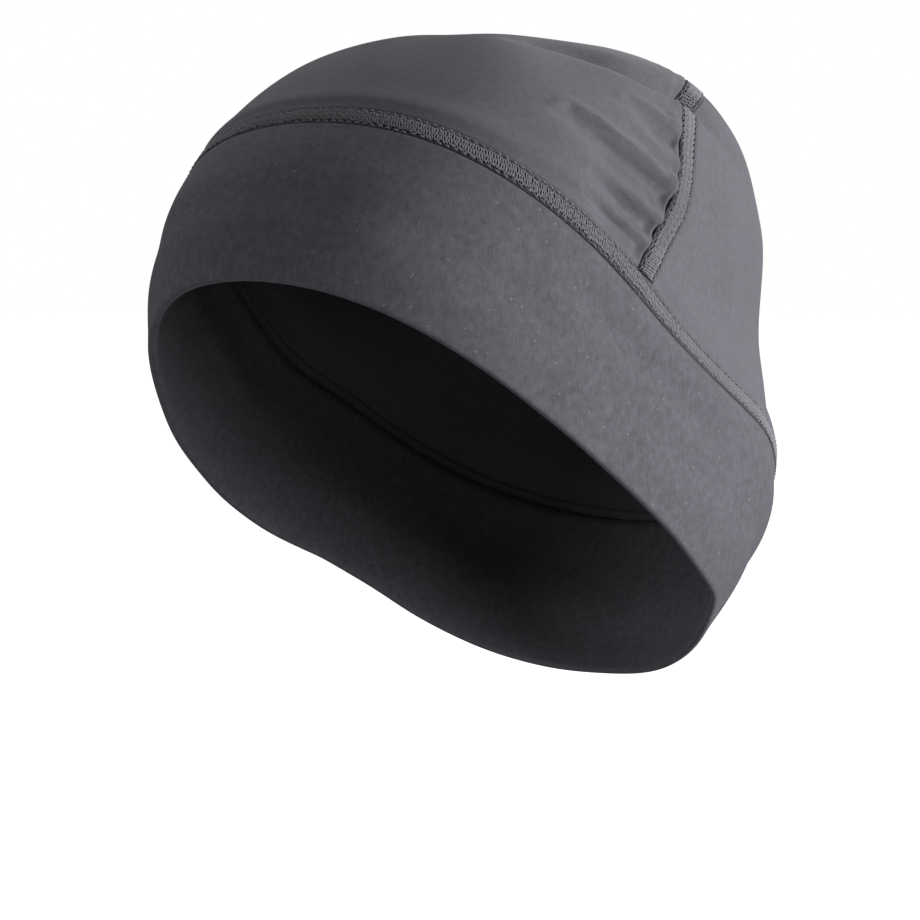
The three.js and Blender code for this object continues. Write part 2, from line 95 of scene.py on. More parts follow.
# Form: lift in degrees, then shares of the named sizes at the face, face quarter, side, nape quarter, nape.
formTable = np.array([
    [-55, 1.171, 1.225, 1.226, 1.287, 1.271],
    [-40, 1.100, 1.148, 1.164, 1.183, 1.187],
    [-25, 1.033, 1.078, 1.110, 1.140, 1.082],
    [-10, 1.024, 1.039, 1.031, 1.083, 1.006],
    [10, 1.046, 1.045, 0.930, 0.995, 0.989],
    [30, 1.004, 1.055, 1.053, 1.076, 1.028],
    [50, 0.995, 1.049, 1.127, 1.141, 1.076],
    [70, 1.000, 1.023, 1.065, 1.103, 1.061],
    [90, 1.000, 1.000, 1.000, 1.000, 1.000]])

# Crown seam on the left side: turn and lift from the band to the middle of the back.
seamTable = np.array([[72, 10.7], [74.3, 16], [77.4, 21], [80.6, 26.2], [82.6, 31], [84.6, 36], [87.2, 41],
                      [91.5, 45.8], [98, 49.6], [112, 54.5], [134, 58.5], [157, 60.5], [180, 61]])

# Gathers: turn and lift of start, middle and end, depth shares there, width share.
gatherTable = np.array([
    [55.5, 37.6, 65, 32.1, 80.5, 25.4, 0.35, 1.0, 1.0, 1.0],
    [71, 42.5, 77, 39.5, 85.3, 36, 0.2, 0.65, 0.7, 0.9],
    [68.3, 37.5, 73.8, 34.5, 83, 30.2, 0.05, 0.3, 0.35, 0.5],
    [59.5, 26, 66, 23.5, 77, 19.8, 0.2, 0.9, 0.9, 0.85],
    [58, 22.6, 63.5, 20, 74, 16, 0.2, 0.7, 0.6, 0.85]])

# Long dips: turn, lift and depth share of each place on their path.
crestDip = np.array([[46, 62.5, 0.1], [59, 60, 0.4], [67.5, 57, 0.85], [73, 54.5, 1], [79, 52, 1],
                     [86, 50, 1], [92, 48.5, 0.9], [97, 45.5, 0.5], [102, 42, 0.25], [112, 34, 0.08]])
bandDent = np.array([[52, 9, 0], [60.2, 5.2, 0.8], [71.2, -0.9, 1], [80.3, -5.6, 1], [89.6, -9.9, 0.8],
                     [98, -11.5, 0.1]])


# Form of the cap

def smoothStep(low, high, value):
    # 3s^2 - 2s^3 of the share s of the way from low to high
    share = np.clip((value - low) / (high - low), 0, 1)
    return share * share * (3 - 2 * share)


def bell(distance, width):
    # e to the power of minus (distance / width) squared
    return np.exp(-(distance / width) ** 2)


def unit(vectors):
    # each vector over its own length
    return vectors / np.linalg.norm(vectors, axis=-1, keepdims=True)


def direction(turn, lift):
    # unit vector at a turn about +Z from the face and a lift above the level, both in degrees
    turn, lift = np.broadcast_arrays(np.radians(turn), np.radians(lift))
    return np.stack([np.sin(turn) * np.cos(lift), -np.cos(turn) * np.cos(lift), np.sin(lift)], -1)


def turnOf(d):
    # angle about +Z from the face, in degrees, left positive
    return np.degrees(np.arctan2(d[..., 0], -d[..., 1]))


def liftOf(d):
    # angle above the level in degrees: the arc sine of z
    return np.degrees(np.arcsin(np.clip(d[..., 2], -1, 1)))


def formSeries(table):
    # each row as a cosine series in the turn, with one mirrored row past the top and slopes between rows
    place = np.arange(5)
    ends = np.where((place == 0) | (place == 4), 0.5, 1.0)
    matrix = np.cos(np.pi * place[:, None] * place / 4) * ends * ends[:, None] / 2
    lifts = np.append(table[:, 0], 180 - table[-2, 0])
    series = table[:, 1:] @ matrix.T
    series = np.vstack([series, series[-2] * np.where(place % 2 == 1, -1, 1)])
    low = np.maximum(np.arange(len(lifts)) - 1, 0)
    high = np.minimum(np.arange(len(lifts)) + 1, len(lifts) - 1)
    slopes = (series[high] - series[low]) / (lifts[high] - lifts[low])[:, None]
    return lifts, series, slopes


rowLifts, rowSeries, rowSlopes = formSeries(formTable)


def formShare(turn, lift):
    # cubic curve over the lift between rows, each row a sum of cosines of whole multiples of the turn
    index = np.clip(np.searchsorted(rowLifts, lift, side="left") - 1, 0, len(rowLifts) - 3)
    span = rowLifts[index + 1] - rowLifts[index]
    t = (lift - rowLifts[index]) / span
    waves = np.cos(np.radians(turn)[..., None] * np.arange(5))
    low, high = (rowSeries[index] * waves).sum(-1), (rowSeries[index + 1] * waves).sum(-1)
    lowSlope, highSlope = (rowSlopes[index] * waves).sum(-1), (rowSlopes[index + 1] * waves).sum(-1)
    return ((2 * t ** 3 - 3 * t ** 2 + 1) * low + (t ** 3 - 2 * t ** 2 + t) * span * lowSlope
            + (3 * t ** 2 - 2 * t ** 3) * high + (t ** 3 - t ** 2) * span * highSlope)


def formPoint(d):
    # the direction times the ellipsoid's half sizes times the table's share there
    size = np.array([capSizes["width"] / 2, capSizes["length"] / 2, capSizes["crownHeight"]])
    return d * size * formShare(turnOf(d), liftOf(d))[..., None]


def formNormal(d):
    # cross product of the steps that the form makes for a small step aside and a small step up
    step = 0.01
    aside = np.stack([-d[..., 1], d[..., 0], np.zeros(d.shape[:-1])], -1)
    flat = np.linalg.norm(aside, axis=-1, keepdims=True)
    aside = np.where(flat < 0.001, np.array([1.0, 0, 0]), aside / np.maximum(flat, 1e-9))
    upward = unit(np.cross(d, aside))
    across = formPoint(unit(d + aside * step)) - formPoint(unit(d - aside * step))
    along = formPoint(unit(d + upward * step)) - formPoint(unit(d - upward * step))
    normal = unit(np.cross(across, along))
    return normal * np.where((normal * d).sum(-1, keepdims=True) < 0, -1, 1)


def hemHeightAt(y):
    # a parabola through the hem's heights at face, side and nape, a cubic bow and a drop to the nape
    t = -y / (capSizes["length"] / 2)
    front, side, back = capSizes["hemFront"], capSizes["hemSide"], capSizes["hemBack"]
    drop = capSizes["napeDrop"] * smoothStep(capSizes["napeDropStart"], capSizes["napeDropEnd"], y)
    return (side + t * (front - back) / 2 + t * t * ((front + back) / 2 - side)
            + capSizes["hemBow"] * (t ** 3 - t) - drop)


meridianCut = {"turns": 361, "lowest": -60.0, "highest": 40.0, "halvings": 40, "topLift": 89.5,
               "places": 241, "reach": 0.14, "steps": 281}


def meridianTable():
    # for each half degree of turn: the lift at each half millimetre of cloth above the hem, by halving
    cut = meridianCut
    turns = np.linspace(0, 180, cut["turns"])
    low, high = np.full(cut["turns"], cut["lowest"]), np.full(cut["turns"], cut["highest"])
    for _ in range(cut["halvings"]):
        middle = (low + high) / 2
        p = formPoint(direction(turns, middle))
        below = p[:, 2] < hemHeightAt(p[:, 1])
        low, high = np.where(below, middle, low), np.where(below, high, middle)
    lifts = low[:, None] + (cut["topLift"] - low[:, None]) * np.linspace(0, 1, cut["places"])
    p = formPoint(direction(turns[:, None], lifts))
    steps = np.linalg.norm(np.diff(p, axis=1), axis=2)
    arcs = np.concatenate([np.zeros((cut["turns"], 1)), np.cumsum(steps, 1)], 1)
    grid = np.linspace(0, cut["reach"], cut["steps"])
    return grid, np.stack([np.interp(grid, row, lift) for row, lift in zip(arcs, lifts)])


meridianGrid, meridianLifts = meridianTable()


def hemDirection(turn, arc):
    # the direction of the cloth at a turn and a length above the hem, read between table places
    last = meridianCut["turns"] - 1
    x = np.clip(np.abs(turn) * last / 180, 0, last - 0.001)
    y = np.clip(np.asarray(arc) / meridianGrid[1], 0, len(meridianGrid) - 1.001)
    x, y = np.broadcast_arrays(x, y)
    i, j = x.astype(int), y.astype(int)
    a, b = x - i, y - j
    lift = ((1 - a) * (1 - b) * meridianLifts[i, j] + a * (1 - b) * meridianLifts[i + 1, j]
            + (1 - a) * b * meridianLifts[i, j + 1] + a * b * meridianLifts[i + 1, j + 1])
    return direction(turn, lift)


def seamPath():
    # smooth curve through the seam's rows, with its foot on the band seam and mirrored past the middle
    rows = direction(seamTable[:, 0], seamTable[:, 1])
    rows[0] = hemDirection(np.array(capSizes["seamTurn"]), capSizes["bandHeight"])
    p = np.vstack([2 * rows[0] - rows[1], rows, rows[-2] * [-1, 1, 1]])
    share = np.linspace(0, len(rows) - 1, 241)
    i = np.minimum(share.astype(int), len(rows) - 2)
    t = (share - i)[:, None]
    a, b, c, d = p[i], p[i + 1], p[i + 2], p[i + 3]
    curve = unit(0.5 * (2 * b + (c - a) * t + (2 * a - 5 * b + 4 * c - d) * t ** 2
                        + (3 * b - a - 3 * c + d) * t ** 3))
    steps = np.arccos(np.clip((curve[1:] * curve[:-1]).sum(1), -1, 1))
    return rows[0], rows[-1], curve, np.append(0, np.cumsum(steps))


seamFoot, seamMiddle, seamCurve, seamAngles = seamPath()


def seamDirection(share):
    # the left crown seam's direction at a share of its way to the middle of the back
    target = np.asarray(share) * seamAngles[-1]
    return unit(np.stack([np.interp(target, seamAngles, seamCurve[:, k]) for k in range(3)], -1))


def greatCircle(start, end, share):
    # both directions weighted by the sines of the angles left to them, over the sine of the whole angle
    angle = np.arccos(np.clip((start * end).sum(-1, keepdims=True), -1, 1))
    return (np.sin((1 - share) * angle) * start + np.sin(share * angle) * end) / np.sin(angle)


bendReach = 55  # degrees of turn from the seam's foot over which the crown's grid leans to the seam


def crownDirection(turn, share):
    # great circle from the band seam to the seam's middle, bent near the crown seam to follow it
    turn, share = np.broadcast_arrays(turn, share)
    share = share[..., None]
    d = greatCircle(hemDirection(turn, capSizes["bandHeight"]), seamMiddle, share)
    near = 1 - smoothStep(0, bendReach, np.abs(np.abs(turn) - capSizes["seamTurn"]))[..., None]
    bend = (seamDirection(share[..., 0]) - greatCircle(seamFoot, seamMiddle, share)) * near
    bend[..., 0] *= np.where(turn < 0, -1, 1)
    return unit(d + bend)


def nearestOn(points, path, depths=None):
    # least distance to the pieces of a path, and the depth share read along the nearest piece
    flat = points.reshape(-1, 3)
    best, depth = np.full(len(flat), 1e9), np.zeros(len(flat))
    for k in range(len(path) - 1):
        along = path[k + 1] - path[k]
        share = np.clip(((flat - path[k]) @ along) / (along @ along), 0, 1)
        distance = np.linalg.norm(flat - path[k] - share[:, None] * along, axis=1)
        closer = distance < best
        best = np.where(closer, distance, best)
        if depths is not None:
            depth = np.where(closer, depths[k] + (depths[k + 1] - depths[k]) * share, depth)
    return best.reshape(points.shape[:-1]), depth.reshape(points.shape[:-1])


bandSeamPath = formPoint(hemDirection(np.arange(0, 181, 3.0), capSizes["bandHeight"]))
crownSeamPath = formPoint(seamDirection(np.linspace(0, 1, 61)))
crestPath = formPoint(direction(crestDip[:, 0], crestDip[:, 1]))
dentPath = formPoint(direction(bandDent[:, 0], bandDent[:, 1]))
gatherPaths = [formPoint(direction(row[[0, 2, 4]], row[[1, 3, 5]])) for row in gatherTable]
gatherSides = [unit(np.cross(*direction(row[[0, 4]], row[[1, 5]]))) for row in gatherTable]


def ripple(points, wavelength, seed, count=7):
    # sum of sine waves in seeded directions, between about -1 and 1
    rng = np.random.default_rng(seed)
    ways = unit(rng.normal(size=(count, 3)))
    lengths = wavelength * rng.uniform(0.7, 1.5, count)
    phases = rng.uniform(0, 2 * np.pi, count)
    return np.sin(points @ (ways / lengths[:, None]).T * 2 * np.pi + phases).sum(-1) / count ** 0.5 / 1.2


# Small forms that only show close by: lips beside the strips, puckers and slack in the cloth.
seeds = {"slack": 5, "lipJag": 8, "lipWave": 9, "pucker": 12, "bandThreads": 3, "crownThreads": 7}
smallForms = {"lipHeight": 0.0008, "lipRise": 0.0005, "lipFade": 0.0045, "lipJag": 0.0004,
              "lipJagSpan": 0.011, "lipMean": 0.8, "lipWave": 0.35, "lipWaveSpan": 0.009, "lipUnder": 0.0001,
              "lipEndStart": 84, "lipEnd": 92, "lipEndShare": 0.85, "bandLipGap": 0.0002,
              "bandLipHeight": 0.00005, "bandLipRise": 0.0007, "bandLipFade": 0.003,
              "puckerDepth": 0.00028, "puckerSpan": 0.0042, "puckerPlace": 0.006, "puckerReach": 0.005,
              "slackDepth": 0.00028, "slackSpan": 0.032, "slackStart": 0.004, "slackFull": 0.014,
              "creaseInside": 0.0030, "creaseOutside": 0.0034, "bedShare": 0.5, "creaseShare": 0.1}


def stripShare(d):
    # width of the crown strip over that of the band strip, from its foot's share to its top's
    high = smoothStep(capSizes["footLift"], capSizes["topLift"], liftOf(d))
    return capSizes["footShare"] + (capSizes["topShare"] - capSizes["footShare"]) * high


def crease(distance, small):
    # share of the sinking beside a seam: a soft bell, or close by a flat bed that ends just past the strip
    soft = bell(distance, foldSizes["seamCreaseWidth"])
    if not small:
        return soft
    bed = 1 - smoothStep(smallForms["creaseInside"], smallForms["creaseOutside"], distance)
    return smallForms["bedShare"] * bed + smallForms["creaseShare"] * soft


def bandFolds(point, bandSeam, nape, flatNearStrip, small):
    # the nape's bulge, less the long dent with its raised sides, and close by a small lip below the strip
    size, width = foldSizes, capSizes["stripWidth"]
    drop, dentWidth = size["napeBulgeDrop"], size["bandDentWidth"]
    bulge = bell(bandSeam - drop, drop * size["napeSpread"]) * smoothStep(width / 2, drop, bandSeam)
    distance, amount = nearestOn(point, dentPath, bandDent[:, 2])
    rim = bell(distance - size["dentRimPlace"] * dentWidth, dentWidth)
    dent = bell(distance, dentWidth) - size["dentRimHeight"] * rim
    height = nape * size["napeBulgeDepth"] * bulge - size["bandDentDepth"] * amount * dent * flatNearStrip
    if small:
        edge = width / 2 + smallForms["bandLipGap"]
        lip = smoothStep(edge, edge + smallForms["bandLipRise"], bandSeam) * bell(
            np.maximum(bandSeam - edge, 0), smallForms["bandLipFade"])
        height += smallForms["bandLipHeight"] * lip
    return height


def crownFolds(d, point, bandSeam, crownSeam, nape, small):
    # the bulge over the band, less the nape's waist, the crease along the crown seam and the crest's long dip
    size, width = foldSizes, capSizes["stripWidth"]
    waist, rise = size["napeWaistRise"], size["crownBulgeRise"]
    hollow = bell(bandSeam - waist, waist * size["napeSpread"]) * smoothStep(width / 2, waist, bandSeam)
    bulge = bell(bandSeam - rise, rise * size["crownBulgeSpread"]) * smoothStep(width / 2, rise, bandSeam)
    height = (1 - nape) * size["crownBulgeDepth"] * bulge - nape * size["napeWaistDepth"] * hollow
    height -= size["seamCreaseDepth"] * crease(crownSeam, small) * smoothStep(0, rise, bandSeam)
    distance, amount = nearestOn(point, crestPath, crestDip[:, 2])
    pathLift = np.interp(np.abs(turnOf(d)), crestDip[:, 0], crestDip[:, 1])
    beyond = smoothStep(-size["crestBlend"], size["crestBlend"], liftOf(d) - pathLift)
    dipWidth = size["crestDipWidth"] + (size["crestDipFarWidth"] - size["crestDipWidth"]) * beyond
    return height - size["crestDipDepth"] * amount * bell(distance, dipWidth)


def gathers(d, point, clearOfSeams):
    # valleys with a gentle lower side, a steep upper side and a ridge beyond it, flat beside the strips
    shape, height = gatherShape, 0
    mirrored = d * np.where(d[..., :1] < 0, np.array([-1.0, 1, 1]), 1.0)
    for row, path, side in zip(gatherTable, gatherPaths, gatherSides):
        distance, amount = nearestOn(point, path, row[6:9])
        above = smoothStep(-shape["sideBlend"], shape["sideBlend"], mirrored @ side)
        stretch = shape["gentleSide"] + (shape["steepSide"] - shape["gentleSide"]) * above
        share = distance / (row[9] * foldSizes["gatherWidth"] * stretch)
        ridge = shape["ridgeHeight"] * bell(share - shape["ridgePlace"], shape["ridgeWidth"]) * above
        height = height - foldSizes["gatherDepth"] * amount * (bell(share, 1) - ridge) * clearOfSeams
    return height


def frontLip(d, here, crownSeam, flatNearStrip):
    # a jagged lip of the front panel over the crown strip's edge, lower past the crest, and fine puckers
    form = smallForms
    jag = form["lipJag"] * ripple(here, form["lipJagSpan"], seeds["lipJag"])
    edge = capSizes["stripWidth"] / 2 - form["lipUnder"] + jag
    past = np.maximum(crownSeam - edge - form["lipRise"], 0)
    lip = smoothStep(edge, edge + form["lipRise"], crownSeam) * bell(past, form["lipFade"])
    ends = 1 - form["lipEndShare"] * smoothStep(form["lipEndStart"], form["lipEnd"], np.abs(turnOf(d)))
    waves = form["lipMean"] + form["lipWave"] * ripple(here, form["lipWaveSpan"], seeds["lipWave"])
    beside = bell(crownSeam - form["puckerPlace"], form["puckerReach"])
    puckers = ripple(here, form["puckerSpan"], seeds["pucker"]) * beside
    return (form["lipHeight"] * waves * lip * ends + form["puckerDepth"] * puckers) * flatNearStrip


def clothHeight(d, part, small):
    # folds of the part: -1 band, 0 strips, 1 front panel, 2 back panel; small adds what shows close by
    point = formPoint(d)
    here = point.copy()
    point[..., 0] = np.abs(point[..., 0])
    width = capSizes["stripWidth"]
    bandSeam = nearestOn(point, bandSeamPath)[0]
    crownSeam = nearestOn(point, crownSeamPath)[0] / stripShare(d)
    flatNearStrip = smoothStep(width * foldStart, width * foldFull, bandSeam)
    nape = smoothStep(napeStart, napeFull, np.abs(turnOf(d)))
    height = -foldSizes["seamCreaseDepth"] * crease(bandSeam, small)
    if small:
        nearest = bandSeam if part < 0 else np.minimum(bandSeam, crownSeam)
        clear = smoothStep(smallForms["slackStart"], smallForms["slackFull"], nearest)
        height += smallForms["slackDepth"] * ripple(here, smallForms["slackSpan"], seeds["slack"]) * clear
    if part < 0:
        return height + bandFolds(point, bandSeam, nape, flatNearStrip, small)
    height += crownFolds(d, point, bandSeam, crownSeam, nape, small)
    if part == 1:
        clear = smoothStep(width * gatherStart, width * gatherFull, crownSeam)
        height += gathers(d, point, clear * flatNearStrip)
        if small:
            height += frontLip(d, here, crownSeam, flatNearStrip)
    return height


def clothPoint(d, part, height, small=True):
    # the form, moved along its normal by the folds and by a height above the cloth's outer face
    return formPoint(d) + formNormal(d) * (clothHeight(d, part, small) + height)[..., None]


seatPoint = clothPoint(direction(0.0, 90.0), 1, -capSizes["crownWall"], small=False)


def turned(vectors):
    # the cap's lean about X
    c, s = np.cos(np.radians(capSizes["headLean"])), np.sin(np.radians(capSizes["headLean"]))
    x, y, z = vectors[..., 0], vectors[..., 1], vectors[..., 2]
    return np.stack([x, y * c + z * s, z * c - y * s], -1)


def place(points):
    # origin at the head's seat, then the lean
    return turned(points - seatPoint)


# Mesh makers

def outward(points, quads):
    # signed volume of the closed mesh; its faces are turned when that is negative
    a, b, c, d = (points[quads[:, k]] for k in range(4))
    volume = (a * (np.cross(b, c) + np.cross(c, d))).sum()
    return quads if volume > 0 else quads[:, ::-1]


def meshObject(name, points, quads, uv=None):
    # one object from whole arrays of points and quads, with a flat map of lengths in metres
    mesh = bpy.data.meshes.new(name)
    mesh.vertices.add(len(points))
    mesh.vertices.foreach_set("co", points.astype(np.float32).ravel())
    mesh.loops.add(quads.size)
    mesh.loops.foreach_set("vertex_index", quads.astype(np.int32).ravel())
    mesh.polygons.add(len(quads))
    mesh.polygons.foreach_set("loop_start", np.arange(0, quads.size, 4, dtype=np.int32))
    mesh.update(calc_edges=True)
    if uv is not None:
        layer = mesh.uv_layers.new(name="clothMap")
        layer.data.foreach_set("uv", uv[quads.ravel()].astype(np.float32).ravel())
    mesh.shade_smooth()
    obj = bpy.data.objects.new(name, mesh)
    bpy.context.collection.objects.link(obj)
    return obj


def gridQuads(rows, columns, wrapRows=False, wrapColumns=False):
    # corner numbers of each cell of a grid of points; a wrapped way joins its last line to its first
    r = np.arange(rows if wrapRows else rows - 1)[:, None]
    c = np.arange(columns if wrapColumns else columns - 1)[None]
    r2, c2 = (r + 1) % rows, (c + 1) % columns
    corners = [r * columns + c, r * columns + c2, r2 * columns + c2, r2 * columns + c]
    return np.stack([np.broadcast_to(k, (r.size, c.size)) for k in corners], -1).reshape(-1, 4)


def shell(name, outer, inner, uv):
    # closed sheet: the outer grid, the inner grid turned round, and the four edges between
    rows, columns = outer.shape[:2]
    count = rows * columns
    faces = gridQuads(rows, columns)
    ids = np.arange(count).reshape(rows, columns)
    rim = np.concatenate([ids[0], ids[1:, -1], ids[-1, -2::-1], ids[-2:0:-1, 0]])
    after = np.roll(rim, -1)
    edges = np.stack([after, rim, rim + count, after + count], -1)
    points = np.concatenate([outer.reshape(-1, 3), inner.reshape(-1, 3)])
    quads = np.concatenate([faces, faces[:, ::-1] + count, edges])
    return meshObject(name, points, outward(points, quads), np.tile(uv.reshape(-1, 2), (2, 1)))


def sweep(name, sections, uv=None, closed=True, tipShare=0.02):
    # cross-sections joined one after another, end to start when closed, else drawn in at both ends
    if not closed:
        first, last = sections[:1].mean(1, keepdims=True), sections[-1:].mean(1, keepdims=True)
        tips = [np.repeat(tip, sections.shape[1], 1) for tip in (first, last)]
        near = [tip + (end - tip) * tipShare for tip, end in zip(tips, (sections[:1], sections[-1:]))]
        sections = np.concatenate([near[0], sections, near[1]])
        uv = None if uv is None else np.concatenate([uv[:1], uv, uv[-1:]])
    rows, columns = sections.shape[:2]
    points = sections.reshape(-1, 3)
    quads = gridQuads(rows, columns, closed, True)
    return meshObject(name, points, outward(points, quads), None if uv is None else uv.reshape(-1, 2))


def tubes(name, paths, radius, normals, sides=5, endShare=0.45):
    # many threads at once: rings round each path, thinner and blunt at both ends
    along = unit(np.gradient(paths, axis=1))
    across = unit(np.cross(along, normals))
    up = np.cross(across, along)
    angle = np.arange(sides) / sides * 2 * np.pi
    ends = np.ones(paths.shape[1])
    ends[[0, -1]] = endShare
    ring = np.cos(angle)[:, None] * across[:, :, None] + np.sin(angle)[:, None] * up[:, :, None]
    points = paths[:, :, None] + ring * radius * ends[None, :, None, None]
    count, steps = paths.shape[:2]
    one = gridQuads(steps, sides, False, True)[:, ::-1]
    offset = np.arange(count)[:, None, None] * steps * sides
    return meshObject(name, points.reshape(-1, 3), (one[None] + offset).reshape(-1, 4))


# Cloth pieces

crownCut = {"rows": 150, "columns": 276, "fineReach": 0.011, "fineStep": 0.00042, "backRows": 120,
            "backColumns": 250, "topGap": 0.0016, "footPlaces": 400}
bandCut = {"turns": 620, "outerRows": 58, "hemRows": 9, "innerRows": 20, "fineReach": 0.009,
           "fineStep": 0.00045, "meanRadius": 0.088}

seamLength = np.linalg.norm(np.diff(crownSeamPath, axis=0), axis=1).sum()


def spread(length, count, reach, step, bothEnds):
    # count places from 0 to length, fine within the reach of one or both ends and even between
    fine = np.arange(0, reach, step)
    if bothEnds:
        middle = np.linspace(reach, length - reach, count - 2 * len(fine))
        return np.concatenate([fine, middle, length - fine[::-1]])
    return np.concatenate([fine, np.linspace(reach, length, count - len(fine))])


def withinHalfTurn(turn):
    # a turn past 180 degrees, less a full turn
    return np.where(turn > 180, turn - 360, turn)


def crownPanel(name, node, part, turnA, turnB, rows, columns):
    # grid of shares up the crown and turns round it, kept half a gap clear of both seams
    gap = capSizes["gap"] / 2
    up = spread(seamLength, rows, crownCut["fineReach"], crownCut["fineStep"], False) / seamLength
    up = gap / seamLength + up * (1 - (gap + crownCut["topGap"]) / seamLength)
    foot = np.linspace(turnA, turnB, crownCut["footPlaces"])
    feet = formPoint(crownDirection(withinHalfTurn(foot), 0.0))
    arcs = np.append(0, np.cumsum(np.linalg.norm(np.diff(feet, axis=0), axis=1)))
    places = spread(arcs[-1], columns, crownCut["fineReach"], crownCut["fineStep"], True)
    turns = np.interp(gap + places * (1 - 2 * gap / arcs[-1]), arcs, foot)
    d = crownDirection(withinHalfTurn(turns)[None, :], up[:, None])
    outer = clothPoint(d, part, 0.0)
    inner = outer - formNormal(d) * capSizes["crownWall"]
    uv = np.stack(np.broadcast_arrays(places[None, :], up[:, None] * seamLength), -1)
    piece = shell(name, place(outer), place(inner), uv)
    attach(piece, "root")
    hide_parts(node)
    return piece


def bandPiece(name, node):
    # profile from the band seam down the outer face, round the folded hem and up the inner face
    turns = np.linspace(-180, 180, bandCut["turns"], endpoint=False)
    wall, fold = capSizes["bandWall"], capSizes["bandWall"] / 2
    top = capSizes["bandHeight"] - capSizes["gap"] / 2
    outer = top - spread(top - fold, bandCut["outerRows"], bandCut["fineReach"], bandCut["fineStep"], False)
    angles = np.linspace(0, np.pi, bandCut["hemRows"] + 2)[1:-1]
    inner = np.linspace(fold, top, bandCut["innerRows"])
    arcs = np.concatenate([outer, fold - fold * np.sin(angles), inner])
    heights = [np.zeros(len(outer)), -fold + fold * np.cos(angles), np.full(len(inner), -wall)]
    rise = foldSizes["hemRollRise"]
    roll = bell(arcs - rise, rise / 2) - bell(arcs - 2 * rise, rise / 2)
    heights = np.concatenate(heights) + foldSizes["hemRollDepth"] * roll
    d = hemDirection(turns[:, None], arcs[None])
    points = clothPoint(d, -1, heights[None])
    around = np.radians(turns[:, None]) * bandCut["meanRadius"]
    uv = np.stack(np.broadcast_arrays(around, arcs[None]), -1)
    piece = sweep(name, place(points), uv)
    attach(piece, "root")
    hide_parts(node)
    return piece


# Seam tapes: flat knitted strips with a raised mesh of cover threads

tapeCut = {"columns": 27, "bandSteps": 1170, "crownSteps": 641, "lacePitch": 0.0023, "laceDepth": 0.00032,
           "laceSlant": 16, "holeDepth": 0.00035, "holeShare": -0.37, "holeWidth": 0.07, "holeStart": -0.1,
           "holeFull": 0.8, "edgeShare": 0.5, "edgeSpare": 0.02, "shoulderShare": 0.40, "edgeHeight": 0.55,
           "bandRest": 0.0001, "crownRest": 0.00018}


def offsetDirection(centre, across, length):
    # the direction whose place on the form lies a length to the side of the centre's, scaled by a small step
    step = 0.01
    scale = np.linalg.norm(formPoint(unit(centre + across * step)) - formPoint(centre), axis=-1) / step
    return unit(centre[:, None] + across[:, None] * (length / scale[:, None])[..., None])


def bandSeamLine(count):
    # directions round the band seam, the way up across it, and the length along it
    turns = np.linspace(-180, 180, count, endpoint=False)
    centre = hemDirection(turns, capSizes["bandHeight"])
    across = unit(centre - hemDirection(turns, capSizes["bandHeight"] - 0.001))
    points = formPoint(centre)
    steps = np.linalg.norm(points - np.roll(points, 1, 0), axis=1)
    return centre, across, np.cumsum(steps), np.full(count, capSizes["stripWidth"])


def crownSeamLine(count):
    # directions over the crown from the left foot to the right one, and the way towards the front panel
    start = (capSizes["stripWidth"] / 2 + capSizes["gap"] * 2) / seamLength
    share = np.linspace(-1, 1, count)
    reach = 1 - np.abs(share) * (1 - start)
    centre, before = seamDirection(reach), seamDirection(np.maximum(0, reach - 0.01))
    along = np.where(np.abs(share)[:, None] < 1e-6, np.array([-1.0, 0, 0]), centre - before)
    across = unit(np.cross(along, centre))
    mirror = np.where(share < 0, -1.0, 1.0)[:, None] * np.array([-1.0, 0, 0]) + np.array([0, 1.0, 1.0])
    centre, across = centre * mirror, across * mirror
    points = formPoint(centre)
    steps = np.linalg.norm(np.diff(points, axis=0), axis=1)
    return centre, across, np.append(0, np.cumsum(steps)), capSizes["stripWidth"] * stripShare(centre)


def tapePiece(name, node, line, closed, rest):
    # raised face with a laced relief, lower edges, and a flat back that rests that far above the cloth
    centre, across, along, width = line
    shares = np.linspace(-tapeCut["edgeShare"], tapeCut["edgeShare"], tapeCut["columns"])
    d = offsetDirection(centre, across, shares[None] * width[:, None])
    edge = smoothStep(tapeCut["edgeShare"] + tapeCut["edgeSpare"], tapeCut["shoulderShare"], np.abs(shares))
    phase = 2 * np.pi * along[:, None] / tapeCut["lacePitch"]
    slant = shares * tapeCut["laceSlant"]
    lace = np.cos(phase + slant) * np.cos(phase - slant)
    holes = smoothStep(tapeCut["holeStart"], tapeCut["holeFull"], np.cos(phase))
    holes = holes * bell(shares - tapeCut["holeShare"], tapeCut["holeWidth"])
    low = tapeCut["edgeHeight"]
    height = capSizes["gap"] + capSizes["stripHeight"] * (low + (1 - low) * edge[None])
    height = height - tapeCut["laceDepth"] * (0.5 - 0.5 * lace) * edge - tapeCut["holeDepth"] * holes
    outer = clothPoint(d, 0, height)
    inner = clothPoint(d, 0, np.full(height.shape, rest))
    sections = place(np.concatenate([outer, inner[:, ::-1]], 1))
    lengths = np.broadcast_to(along[:, None], height.shape)
    sides = np.broadcast_to(shares[None] * capSizes["stripWidth"], height.shape)
    uv = np.stack([lengths, sides], -1)
    uv = np.concatenate([uv, uv[:, ::-1]], 1)
    piece = sweep(name, sections, uv, closed)
    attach(piece, "root")
    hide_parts(node)
    return piece


threadCut = {"radius": 0.00017, "looperRise": 0.00022, "looperSink": 0.0001, "needleRise": 0.0001,
             "needleHeight": 0.85, "needleSteps": 6, "needleStart": 0.12, "needleEnd": 0.8,
             "needleSlip": 0.05, "needleWander": 0.0001, "stepsPerStitch": 10,
             "needleShares": (-0.42, -0.14, 0.14, 0.42), "looperReach": 0.43, "wander": 0.00028,
             "pitch": 0.0023, "strands": (0.0, 0.36, 0.68), "turnSharpness": 0.97, "looperLow": 0.25,
             "needleArch": 3, "needleSink": 0.6}


